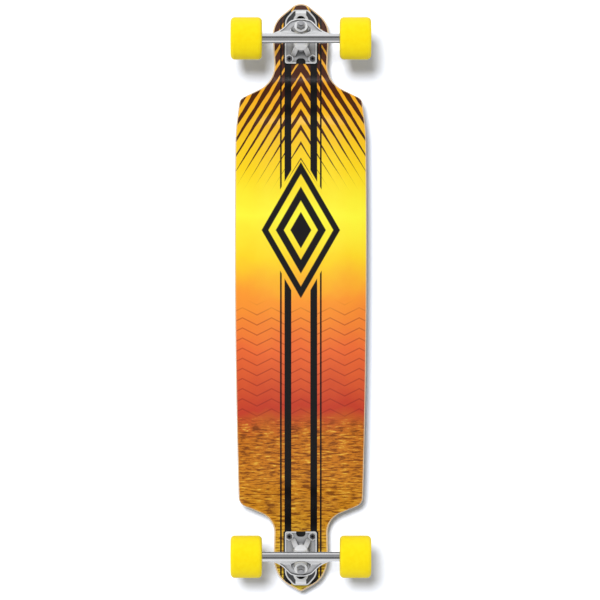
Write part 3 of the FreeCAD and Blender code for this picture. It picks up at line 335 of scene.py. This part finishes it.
grit, inside, outside = new_effect(
    "grit", {"Place": (0.0, 0.0, 0.0), "Grain": 0.6 * MM}, ["Height", "Sparkle"])
sparkle_start, sparkle_full = 0.86, 0.98
grit_place = counted_in(grit, inside.outputs["Place"], inside.outputs["Grain"])
crystals = put(grit, "TexVoronoi", {"Vector": grit_place, "Scale": 1.0}).outputs
grit.links.new(sums(grit, "SUBTRACT", 1.0, crystals["Distance"]), outside.inputs["Height"])
chance = put(grit, "SeparateColor", {"Color": crystals["Color"]}).outputs[0]
grit.links.new(fade(grit, chance, sparkle_start, sparkle_full), outside.inputs["Sparkle"])


def effect(tree, group, **inputs):
    """Places a node group in a material with its own values, and gives what it puts out."""
    return put(tree, "Group", inputs, node_tree=group).outputs


def raise_skin(tree, shader, height, strength, depth):
    """Lets a height show as fine relief."""
    bump = put(tree, "Bump", {"Strength": strength, "Distance": depth, "Height": height})
    tree.links.new(bump.outputs[0], shader.inputs["Normal"])


grip_finish, tree, shader = new_finish("grip_sheet", Roughness=0.85)
fresh_grip, greyed_grip, glint_grey = shade(30, 30, 31), shade(48, 47, 46), shade(112, 112, 114)
wear_scale, wear_start, wear_full = 7.0, 0.42, 0.70
place = put(tree, "TexCoord").outputs["Object"]
grains = effect(tree, grit, Place=place, Grain=0.7 * MM)
worn = fade(tree, clouds(tree, place, wear_scale, detail=4.0), wear_start, wear_full)
sheet = over(tree, worn, fresh_grip, greyed_grip)
tree.links.new(over(tree, grains["Sparkle"], sheet, glint_grey), shader.inputs["Base Color"])
raise_skin(tree, shader, grains["Height"], strength=0.7, depth=0.4 * MM)
dress("grip_tape", grip_finish)
nodes["grip_tape"].visible_glossy = False

# Riser pads: moulded black rubber sheets clamped between each baseplate and the deck to raise the
# truck and take up shock.
rubber_finish, tree, shader = new_finish("riser_rubber", Roughness=0.7)
clean_rubber, dusty_rubber = shade(22, 22, 23), shade(46, 45, 44)
dust_scale, dust_start, dust_full = 60.0, 0.4, 0.8
place = put(tree, "TexCoord").outputs["Object"]
grains = effect(tree, grit, Place=place, Grain=1.1 * MM)
dust = fade(tree, clouds(tree, place, dust_scale, detail=4.0), dust_start, dust_full)
tree.links.new(over(tree, dust, clean_rubber, dusty_rubber), shader.inputs["Base Color"])
raise_skin(tree, shader, grains["Height"], strength=0.25, depth=0.2 * MM)
ends = ("front", "rear")
for end in ends:
    dress(end + "_riser_pad", rubber_finish)

# Baseplates: die-cast aluminium, tumbled bright, each with a pivot tower, two gussets and a collared
# nose. Four bolts and lock nuts hold each one under the deck.
cast_skin, inside, outside = new_effect(
    "cast_skin", {"Place": (0.0, 0.0, 0.0), "Pores": 0.9 * MM}, ["Height", "Cloud", "Scratch"])
cloud_scale = 70.0
streak_scale = (300.0, 2200.0, 900.0)
scratch_start, scratch_full, scratch_rough = 0.60, 0.72, 0.12
patch_range = (0.3, 0.7)
skin_depth = 0.2 * MM
skin_place = inside.outputs["Place"]
pore_place = counted_in(cast_skin, skin_place, inside.outputs["Pores"])
streak_place = put(cast_skin, "VectorMath", {0: skin_place, 1: streak_scale}, operation="MULTIPLY")
streaks = clouds(cast_skin, streak_place.outputs[0], 1.0, detail=3.0)
cast_skin_masks = {
    "Height": clouds(cast_skin, pore_place, 1.0, detail=2.0),
    "Cloud": clouds(cast_skin, skin_place, cloud_scale, detail=4.0),
    "Scratch": fade(cast_skin, streaks, scratch_start, scratch_full)}
for socket, mask in cast_skin_masks.items():
    cast_skin.links.new(mask, outside.inputs[socket])


def metal(name, bright, dull, smooth, rough, pores, relief, bare=1.0):
    """A metal whose shine clouds over and whose skin has fine pores; oxide makes it less bare."""
    finish, tree, shader = new_finish(name, Metallic=bare)
    place = put(tree, "TexCoord").outputs["Object"]
    skin = effect(tree, cast_skin, Place=place, Pores=pores)
    tree.links.new(over(tree, skin["Cloud"], dull, bright), shader.inputs["Base Color"])
    clouded = remap(tree, skin["Cloud"], *patch_range, rough, smooth)
    scratched = sums(tree, "MULTIPLY", skin["Scratch"], scratch_rough)
    tree.links.new(sums(tree, "ADD", clouded, scratched), shader.inputs["Roughness"])
    raise_skin(tree, shader, skin["Height"], relief, skin_depth)
    return finish


# Painted shade in the hollows: a casting is darkened where it is closed in by its own walls.
shade_in_hollows, inside, outside = new_effect("shade_in_hollows", {"Depth": 12 * MM}, ["Grime"])
open_wall, closed_wall = 0.86, 0.22
openness = put(shade_in_hollows, "AmbientOcclusion", {"Distance": inside.outputs["Depth"]},
               samples=6, only_local=True).outputs["AO"]
shade_in_hollows.links.new(fade(shade_in_hollows, openness, open_wall, closed_wall), outside.inputs["Grime"])

# The sunk floor of the plate is painted darker than its rim as painted shade, and darkest in the pockets
# of the nose.
cast_finish = metal("tumbled_casting", shade(242, 243, 245), shade(226, 227, 230),
                    smooth=0.40, rough=0.52, pores=0.9 * MM, relief=0.2, bare=0.4)
sunk_floor_shade_grey, pocket_shade_grey, plate_shade_grey = shade(186, 187, 190), shade(84, 85, 88), shade(92, 93, 96)
plate_rim, plate_floor = 101.6 * MM, 103.3 * MM
pocket_start, pocket_full = 484 * MM, 492 * MM
tree = cast_finish.node_tree
shader = tree.nodes["Principled BSDF"]
along, _, height = axes(tree, put(tree, "TexCoord").outputs["Object"])
nose_shade_mask = fade(tree, sums(tree, "ABSOLUTE", along), pocket_start, pocket_full)
floor_shade_grey = over(tree, nose_shade_mask, sunk_floor_shade_grey, pocket_shade_grey)
tumbled = shader.inputs["Base Color"].links[0].from_socket
plate_colour_and_shade = over(tree, fade(tree, height, plate_rim, plate_floor), tumbled, floor_shade_grey)
# The plate's hollows get painted shade as well.
hollow_shade = effect(tree, shade_in_hollows, Depth=12 * MM)["Grime"]
tree.links.new(over(tree, hollow_shade, plate_colour_and_shade, plate_shade_grey), shader.inputs["Base Color"])
for end in ends:
    dress(end + "_baseplate", cast_finish)

# Pivot cups: small cream nylon cups, moulded and pressed into each tower. The rounded nose of the
# hanger sits and turns in them.
soft_skin, inside, outside = new_effect(
    "soft_skin", {"Place": (0.0, 0.0, 0.0), "Patches": 4 * MM}, ["Mottle", "Height"])
pits_per_patch = 9.0
mottle_start, mottle_full = 0.35, 0.65
patch_place = counted_in(soft_skin, inside.outputs["Place"], inside.outputs["Patches"])
soft_mottle = clouds(soft_skin, patch_place, 1.0, detail=3.0)
soft_pits = clouds(soft_skin, patch_place, pits_per_patch, detail=2.0)
soft_skin.links.new(soft_mottle, outside.inputs["Mottle"])
soft_skin.links.new(soft_pits, outside.inputs["Height"])


def moulded(name, pale, deep, smooth, rough, patches, relief):
    """A moulded plastic or cast urethane with a slightly uneven skin."""
    finish, tree, shader = new_finish(name)
    place = put(tree, "TexCoord").outputs["Object"]
    skin = effect(tree, soft_skin, Place=place, Patches=patches)
    mottle = fade(tree, skin["Mottle"], mottle_start, mottle_full)
    tree.links.new(over(tree, mottle, deep, pale), shader.inputs["Base Color"])
    tree.links.new(remap(tree, skin["Mottle"], *patch_range, smooth, rough), shader.inputs["Roughness"])
    raise_skin(tree, shader, skin["Height"], relief, skin_depth)
    return finish


cup_finish = moulded("cup_nylon", shade(232, 226, 204), shade(220, 212, 186),
                     smooth=0.35, rough=0.5, patches=4 * MM, relief=0.1)
for end in ends:
    dress(end + "_pivot_cup", cup_finish)

# Kingpins: zinc-plated bolts held by their heads in the baseplates, each with a lock nut that squeezes
# the bushings through two cup washers.
plated_finish = metal("zinc_plate", shade(206, 207, 210), shade(168, 169, 174),
                      smooth=0.26, rough=0.42, pores=0.6 * MM, relief=0.06, bare=0.8)
washer_finish = metal("bright_washer", shade(244, 245, 246), shade(230, 231, 233),
                      smooth=0.30, rough=0.40, pores=0.6 * MM, relief=0.05, bare=0.4)
for end in ends:
    dress(end + "_kingpin", plated_finish)
    dress(end + "_kingpin_nut", plated_finish)
    dress(end + "_bushing_washers", washer_finish)

# Bushings: off-white cast urethane, a barrel on the board side and a cone on the road side of each
# hanger ring. They are held by the kingpin and give as the hanger leans.
bushing_finish = moulded("bushing_urethane", shade(236, 234, 226), shade(226, 222, 210),
                         smooth=0.28, rough=0.42, patches=6 * MM, relief=0.08)
bushing_rings = 14
bushing_steps = 64
bushing_bore = 4.9 * MM
seat_radius = 12.2 * MM
ring_floor = 3.5 * MM
bushing_end = 15.5 * MM
bushing_edge = 0.8 * MM
bushing_kinds = {"boardside": (12.2 * MM, -1), "roadside": (10.0 * MM, 1)}
soft_edge = math.radians(40)


def worked_piece(name, shape, edge, finish):
    """Puts a worked shape in the scene as a piece that is smooth between its edges."""
    bmesh.ops.recalc_face_normals(shape, faces=shape.faces)
    for face in shape.faces:
        face.smooth = True
    mesh = bpy.data.meshes.new(name)
    shape.to_mesh(mesh)
    shape.free()
    mesh.set_sharp_from_angle(angle=edge)
    mesh.materials.append(finish)
    piece = bpy.data.objects.new(name, mesh)
    bpy.context.scene.collection.objects.link(piece)
    return piece


def turned_piece(name, profile, steps, finish):
    """A closed piece turned about Z from a loop of (radius, height) points."""
    shape = bmesh.new()
    loops = []
    for step in range(steps):
        angle = 2 * math.pi * step / steps
        loops.append([shape.verts.new((r * math.cos(angle), r * math.sin(angle), z)) for r, z in profile])
    for here, there in zip(loops, loops[1:] + loops[:1]):
        for index in range(len(profile)):
            follow = (index + 1) % len(profile)
            shape.faces.new((here[index], there[index], there[follow], here[follow]))
    return worked_piece(name, shape, soft_edge, finish)


def bushing_profile(far_radius, sign):
    """The bushing's section, from the hanger's ring to its far end, with both lips rounded."""
    profile = [(bushing_bore, sign * ring_floor)]
    for index in range(bushing_rings + 1):
        share = index / bushing_rings
        from_end = min(share, 1 - share) * (bushing_end - ring_floor)
        soft = max(bushing_edge - from_end, 0)
        tuck = bushing_edge - math.sqrt(bushing_edge ** 2 - soft ** 2)
        radius = seat_radius + (far_radius - seat_radius) * share - tuck
        profile.append((radius, sign * (ring_floor + share * (bushing_end - ring_floor))))
    profile.append((bushing_bore, sign * bushing_end))
    return profile


steers = {joint["name"]: joint for joint in frame["joints"]}
for end in ends:
    steer = steers[end + "_steer"]
    ring_middle, lean_axis = Vector(steer["pos_m"]), Vector(steer["axis"]).normalized()
    kingpin_axis = lean_axis.cross(Vector((0, 1, 0)))
    if kingpin_axis.z > 0:
        kingpin_axis.negate()
    upright = Vector((0, 0, 1)).rotation_difference(kingpin_axis).to_matrix().to_4x4()
    stand = Matrix.Translation(ring_middle) @ upright
    for kind, (far_radius, sign) in bushing_kinds.items():
        bushing = turned_piece(end + "_" + kind + "_bushing_soft", bushing_profile(far_radius, sign),
                               bushing_steps, bushing_finish)
        bushing.data.transform(stand)
        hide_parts(end + "_" + kind + "_bushing")
        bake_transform(bushing)

# Deck bolts and lock nuts: blackened countersunk bolts with hexagon sockets, through deck, riser and
# baseplate, each drawn up by a nylon-ring lock nut.
black_finish = metal("black_oxide", shade(52, 52, 55), shade(34, 34, 37),
                     smooth=0.32, rough=0.48, pores=0.6 * MM, relief=0.06)
nut_finish = metal("grey_phosphate", shade(104, 104, 108), shade(82, 82, 86),
                   smooth=0.42, rough=0.55, pores=0.6 * MM, relief=0.08, bare=0.3)
bolt_steps = 48
bolt_head = 4.7 * MM
bolt_shank = 2.4 * MM
socket_corner = 1.85 * MM
socket_depth = 1.9 * MM
half_flat = math.pi / 6


def bolt_rim(shape, bolt_x, bolt_y, radius, level, six_sided):
    """One ring of points on a bolt, round or with the six flats of its socket."""
    rim = []
    for step in range(bolt_steps):
        angle = 2 * math.pi * step / bolt_steps
        reach = radius
        if six_sided:
            past_flat = (angle + half_flat) % (2 * half_flat) - half_flat
            reach = radius * math.cos(half_flat) / math.cos(past_flat)
        spot = (bolt_x + reach * math.cos(angle), bolt_y + reach * math.sin(angle), level)
        rim.append(shape.verts.new(spot))
    return rim


def add_bolt(shape, bolt_x, bolt_y, foot, top):
    """One bolt: its socket's floor and wall, its head, the countersink and the shank."""
    rows = [(socket_corner, top - socket_depth, True), (socket_corner, top, True),
            (bolt_head, top, False), (bolt_shank, top - bolt_head + bolt_shank, False),
            (bolt_shank, foot, False)]
    rims = [bolt_rim(shape, bolt_x, bolt_y, *row) for row in rows]
    for inner, outer in zip(rims, rims[1:]):
        for step in range(bolt_steps):
            follow = (step + 1) % bolt_steps
            shape.faces.new((inner[step], inner[follow], outer[follow], outer[step]))
    shape.faces.new(rims[0])
    shape.faces.new(rims[-1])


for end in ends:
    low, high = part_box(end + "_deck_bolts")
    shape = bmesh.new()
    for bolt_x in (low.x + bolt_head, high.x - bolt_head):
        for bolt_y in (low.y + bolt_head, high.y - bolt_head):
            add_bolt(shape, bolt_x, bolt_y, low.z, high.z)
    bolts = worked_piece(end + "_socket_bolts", shape, crisp_edge, black_finish)
    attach(bolts, "deck")
    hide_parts(end + "_deck_bolts")
    dress(end + "_deck_nuts", nut_finish)

# Hangers: cast in the same aluminium, with the axle tube and wings polished. Each turns on its pivot
# nose and on the bushings either side of its ring.
hanger_finish = metal("polished_casting", shade(240, 241, 243), shade(222, 223, 226),
                      smooth=0.34, rough=0.46, pores=1.1 * MM, relief=0.14)
crescent_shade_grey, flank_shade_grey, hanger_shade_grey = shade(36, 36, 38), shade(92, 93, 96), shade(100, 101, 104)
tree = hanger_finish.node_tree
shader = tree.nodes["Principled BSDF"]
along, across, height = axes(tree, put(tree, "TexCoord").outputs["Object"])
outward = sums(tree, "ABSOLUTE", along)


def from_axis(tree, first, second):
    """How far a point lies from an axis, from its two offsets."""
    offset = put(tree, "CombineXYZ", {"X": first, "Y": second}).outputs[0]
    return put(tree, "VectorMath", {0: offset}, operation="LENGTH").outputs["Value"]


# The axle tube is ground bright. Its flank towards the middle of the board is painted darker as painted
# shade.
axle_low, axle_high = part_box("front_axle")
axle_middle = (axle_low + axle_high) / 2
tube_skin, tube_end = 8.6 * MM, 9.0 * MM
tube_rough, cast_bare = 0.14, 0.5
flank_start, flank_full = -6.5 * MM, -7.3 * MM
past_axle = sums(tree, "SUBTRACT", outward, axle_middle.x)
tube_reach = from_axis(tree, past_axle, sums(tree, "SUBTRACT", height, axle_middle.z))
cast_rough = shader.inputs["Roughness"].links[0].from_socket
for socket, on_tube, elsewhere in (("Roughness", tube_rough, cast_rough), ("Metallic", 1.0, cast_bare)):
    polish = remap(tree, tube_reach, tube_skin, tube_end, on_tube, elsewhere)
    tree.links.new(polish, shader.inputs[socket])
flank_shade_mask = both(tree, fade(tree, past_axle, flank_start, flank_full),
                fade(tree, tube_reach, tube_end, tube_skin))

# The wings' sunk floors get painted shade; they lie under a slanted plane and start a little way out from
# the tube.
wing_slope = (0.7517, 0.0, -0.6595)
wing_rim, wing_floor = 318.2 * MM, 317.4 * MM
wing_start, wing_full = 13.5 * MM, 16 * MM
folded_place = put(tree, "CombineXYZ", {"X": outward, "Z": height}).outputs[0]
wing_level = put(tree, "VectorMath", {0: folded_place, 1: wing_slope},
                 operation="DOT_PRODUCT").outputs["Value"]
wing_shade_mask = both(tree, fade(tree, wing_level, wing_rim, wing_floor),
               fade(tree, past_axle, wing_start, wing_full))

# Painted shade: a dark crescent is painted in the ring beside the bushing washer, on the side of the
# axle.
ring_middle = Vector(steers["front_steer"]["pos_m"])
lean_axis = Vector(steers["front_steer"]["axis"]).normalized()
crescent_inner, crescent_outer, crescent_edge = 12 * MM, 17.6 * MM, 0.3 * MM
crescent_stop, crescent_full = 1 * MM, -5 * MM
level_lean = sums(tree, "MULTIPLY", sums(tree, "SUBTRACT", outward, ring_middle.x), lean_axis.x)
upright_lean = sums(tree, "MULTIPLY", sums(tree, "SUBTRACT", height, ring_middle.z), lean_axis.z)
along_lean = sums(tree, "ADD", level_lean, upright_lean)
round_kingpin = band(tree, from_axis(tree, along_lean, across),
                     crescent_inner, crescent_outer, crescent_edge)
crescent_shade_mask = both(tree, round_kingpin, fade(tree, along_lean, crescent_stop, crescent_full))

# The hanger's colour with its painted shade on wing floors, ring crescent, tube flank and hollows.
hanger_colour_and_shade = shader.inputs["Base Color"].links[0].from_socket
hanger_colour_and_shade = over(tree, wing_shade_mask, hanger_colour_and_shade, sunk_floor_shade_grey)
hanger_colour_and_shade = over(tree, crescent_shade_mask, hanger_colour_and_shade, crescent_shade_grey)
hanger_colour_and_shade = over(tree, flank_shade_mask, hanger_colour_and_shade, flank_shade_grey)
hollow_shade = effect(tree, shade_in_hollows, Depth=14 * MM)["Grime"]
tree.links.new(over(tree, hollow_shade, hanger_colour_and_shade, hanger_shade_grey), shader.inputs["Base Color"])
for end in ends:
    dress(end + "_hanger", hanger_finish)
    nodes[end + "_hanger"].visible_shadow = False

# Axles: plated steel rods through the hangers, with lock nuts that hold the wheels, washers that keep
# the nuts off the bearings, and a spacer between the two bearings of each wheel.
for end in ends:
    for piece in ("axle", "axle_nuts", "speed_washers", "bearing_spacers"):
        dress(end + "_" + piece, plated_finish)

# Bearings: ground steel races and balls, two bearings to a wheel, pressed into the wheel's core and
# closed by thin pressed shields.
race_finish = metal("ground_steel", shade(222, 223, 226), shade(200, 201, 205),
                    smooth=0.12, rough=0.2, pores=0.5 * MM, relief=0.03)
shield_finish = metal("pressed_shield", shade(186, 187, 190), shade(160, 161, 165),
                      smooth=0.3, rough=0.42, pores=0.5 * MM, relief=0.05)
sides = ("left", "right")
for end in ends:
    dress(end + "_inner_races", race_finish)
    for side in sides:
        dress(end + "_" + side + "_outer_races", race_finish)
        dress(end + "_" + side + "_bearing_balls", race_finish)
        dress(end + "_" + side + "_bearing_shields", shield_finish)

# Wheels: lemon urethane poured round a white moulded core, then ground true, which leaves faint lines
# round the tread.
core_finish = moulded("core_nylon", shade(238, 238, 234), shade(226, 226, 221),
                      smooth=0.35, rough=0.5, patches=5 * MM, relief=0.08)
tyre_finish, tree, shader = new_finish("lemon_urethane", Specular_IOR_Level=0.1)
deep_lemon, pale_lemon = shade(253, 224, 20), shade(255, 229, 26)
tyre_smooth, tyre_rough = 0.36, 0.48
line_width = 0.625 * MM
place = put(tree, "TexCoord").outputs["Object"]
mottle = effect(tree, soft_skin, Place=place, Patches=8 * MM)["Mottle"]
lemon = over(tree, fade(tree, mottle, *patch_range), deep_lemon, pale_lemon)
tree.links.new(lemon, shader.inputs["Base Color"])
tree.links.new(remap(tree, mottle, *patch_range, tyre_smooth, tyre_rough), shader.inputs["Roughness"])
tread_place = sums(tree, "DIVIDE", axes(tree, place)[1], line_width)
line_place = put(tree, "CombineXYZ", {"Y": tread_place}).outputs[0]
ground_lines = clouds(tree, line_place, 1.0, detail=2.0)
raise_skin(tree, shader, ground_lines, strength=0.12, depth=0.2 * MM)
for end in ends:
    for side in sides:
        dress(end + "_" + side + "_wheel_core", core_finish)
        dress(end + "_" + side + "_tyre", tyre_finish)

# Studio: a pale painted floor under the wheels for views from above, and a pale wall close behind the
# deck's top for views of the underside, each clear from behind. A grey card below shows in the metal,
# soft lamps light each side, and the world fills in from the horizon.
stage_half = 4.0
wall_height = 150 * MM
floor_paint, wall_paint = (0.60, 0.60, 0.61, 1.0), (0.578, 0.6, 0.655, 1.0)
card_level, card_half, card_glow = -600 * MM, 560 * MM, 0.33


def square_sheet(name, half_side, level, faces_up, finish, hidden_from):
    """A square sheet of the stage, left out of some kinds of ray."""
    corners = ((-1, -1), (1, -1), (1, 1), (-1, 1))
    order = (0, 1, 2, 3) if faces_up else (3, 2, 1, 0)
    mesh = bpy.data.meshes.new(name)
    mesh.from_pydata([(x * half_side, y * half_side, level) for x, y in corners], [], [order])
    mesh.materials.append(finish)
    sheet = bpy.data.objects.new(name, mesh)
    bpy.context.scene.collection.objects.link(sheet)
    for ray in hidden_from:
        setattr(sheet, "visible_" + ray, False)
    return sheet


def painted_sheet(name, level, faces_up, paint):
    """A floor or wall in two coats of paint, which keeps the board's shadow; clear from behind."""
    finish, tree, _ = new_finish(name + "_paint")
    coat = put(tree, "BsdfDiffuse", {"Color": paint}).outputs[0]
    two_coats = put(tree, "AddShader", {0: coat, 1: coat}).outputs[0]
    clear = put(tree, "BsdfTransparent").outputs[0]
    behind = put(tree, "NewGeometry").outputs["Backfacing"]
    shown = put(tree, "MixShader", {0: behind, 1: two_coats, 2: clear})
    tree.links.new(shown.outputs[0], tree.nodes["Material Output"].inputs["Surface"])
    sheet = square_sheet(name, stage_half, level, faces_up, finish,
                         ("shadow", "diffuse", "glossy", "transmission"))


painted_sheet("floor", 0.0, True, floor_paint)
painted_sheet("wall", wall_height, False, wall_paint)

card_finish, tree, _ = new_finish("grey_card_glow")
glow = put(tree, "Emission", {"Strength": card_glow})
tree.links.new(glow.outputs[0], tree.nodes["Material Output"].inputs["Surface"])
card = square_sheet("grey_card", card_half, card_level, True, card_finish,
                    ("camera", "shadow", "diffuse", "transmission"))


def lamp(name, towards, strength, softness):
    """A soft distant lamp that shines along a direction and leaves no glint in the metal."""
    light = bpy.data.lights.new(name, "SUN")
    light.energy = strength
    light.angle = math.radians(softness)
    light.cycles.max_bounces = 0
    lit = bpy.data.objects.new(name, light)
    lit.rotation_euler = Vector((0, 0, -1)).rotation_difference(Vector(towards)).to_euler()
    lit.visible_glossy = False
    bpy.context.scene.collection.objects.link(lit)
    return lit


lamp("underside_key", (-0.23, 0.14, 1.0), strength=2.5, softness=15)
lamp("overhead_key", (0.35, 0.45, -1.0), strength=1.2, softness=12)

# A faint lamp on the lacquer alone gives the sheen along the deck's bends.
sheen = lamp("lacquer_sheen", (-0.20, 0.0, 1.0), strength=0.25, softness=12)
sheen.visible_glossy = True
sheen.visible_diffuse = False
lacquered = bpy.data.collections.new("lacquered")
lacquered.objects.link(nodes["deck"])
sheen.light_linking.receiver_collection = lacquered


def grey(level):
    """A plain grey light."""
    return (level, level, level, 1.0)


world = bpy.data.worlds.new("studio")
bpy.context.scene.world = world
world.use_nodes = True
tree = world.node_tree
rays = put(tree, "LightPath").outputs
climb = axes(tree, put(tree, "TexCoord").outputs["Generated"])[2]
steep = sums(tree, "ABSOLUTE", climb)

# Metal mirrors a pale horizon that darkens towards straight down, and a pale sky.
mirror_horizon, mirror_below, mirror_sky = grey(0.9), grey(0.1), grey(0.8)
dark_start, dark_full = 0.25, 0.92
sky_start, sky_full = 0.2, 0.4
mirrored = over(tree, fade(tree, steep, dark_start, dark_full), mirror_horizon, mirror_below)
mirrored = over(tree, fade(tree, climb, sky_start, sky_full), mirrored, mirror_sky)

# The fill is strongest at the horizon, and weaker from below than from above.
low_horizon, straight_below = grey(0.7), grey(0.05)
high_horizon, straight_above = grey(1.6), grey(0.1)
from_below = over(tree, steep, low_horizon, straight_below)
from_above = over(tree, steep, high_horizon, straight_above)
fill = over(tree, sums(tree, "GREATER_THAN", climb, 0.0), from_below, from_above)
lit_world = over(tree, rays["Is Glossy Ray"], fill, mirrored)
seen = sums(tree, "MAXIMUM", rays["Is Camera Ray"], rays["Is Transmission Ray"])
white_behind = over(tree, seen, lit_world, grey(1.0))
tree.links.new(white_behind, tree.nodes["Background"].inputs["Color"])

# Camera: far below the board, looking straight up at its underside with the nose at the top. A pixel is
# measured in the deck's own plane, and the frame sits a little off the middle of the board.
frame_pixels = 600
pixel = 1.781 * MM
frame_width = frame_pixels * pixel
shift_along, shift_across = -2.45 * pixel, -0.85 * pixel
camera_distance = 8.0
deck_plane = 100 * MM
sensor_width = 36.0
camera_data = bpy.data.cameras.new("underside_view")
camera_data.sensor_width = sensor_width
camera_data.lens = sensor_width * camera_distance / frame_width
camera_data.clip_end = 100.0
camera = bpy.data.objects.new("underside_view", camera_data)
camera.matrix_world = Matrix((
    (0, 1, 0, shift_along),
    (1, 0, 0, shift_across),
    (0, 0, -1, deck_plane - camera_distance),
    (0, 0, 0, 1)))
bpy.context.scene.collection.objects.link(camera)
bpy.context.scene.camera = camera
bpy.context.scene.view_settings.view_transform = "Standard"
